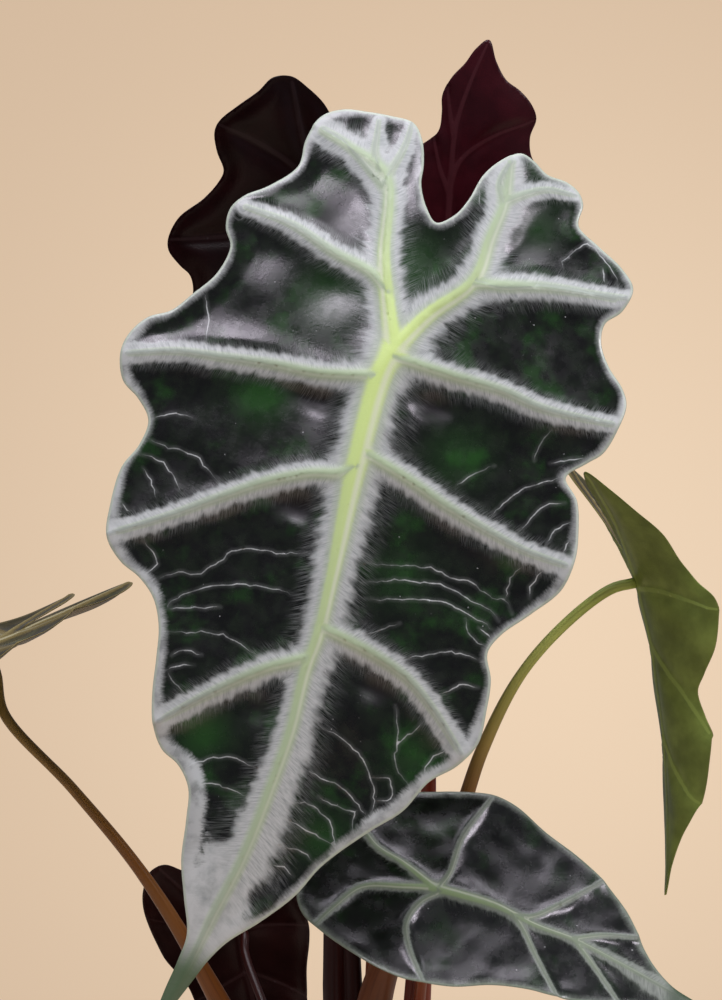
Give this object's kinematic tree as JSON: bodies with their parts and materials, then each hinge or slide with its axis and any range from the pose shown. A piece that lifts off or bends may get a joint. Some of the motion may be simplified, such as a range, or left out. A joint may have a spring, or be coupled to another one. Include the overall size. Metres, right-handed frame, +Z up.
{
  "type": "potted alocasia polly",
  "caption": "Potted alocasia polly with arrow-shaped leaves on fleshy petioles that rise from a rhizome in a filled terracotta pot, for standing on a flat surface.",
  "frame": {"origin": "centre of the pot's flat underside, on the surface that it stands on", "axes": "+Z up, the main leaf faces -Y, +X to the right seen from the front"},
  "size_m": [0.3608, 0.188, 0.5657],
  "materials": {
    "terracotta": "matt fired clay",
    "soil": "crumbly damp potting mix",
    "rhizome": "papery brown bark",
    "petiole": "smooth fleshy stalk, satin",
    "blade": "leathery leaf, glossy between matt silver veins"
  },
  "bodies": {
    "root": {"pot": "terracotta", "soil": "soil", "rhizome": "rhizome", "petiole_main": "petiole", "petiole_lower_right": "petiole", "petiole_upper_left": "petiole", "petiole_upper_right": "petiole", "petiole_right": "petiole", "petiole_left": "petiole", "petiole_lower_left": "petiole", "blade_main": "blade", "blade_lower_right": "blade", "blade_upper_left": "blade", "blade_upper_right": "blade", "blade_right": "blade", "blade_left": "blade", "blade_lower_left": "blade"}
  },
  "joints": []
}
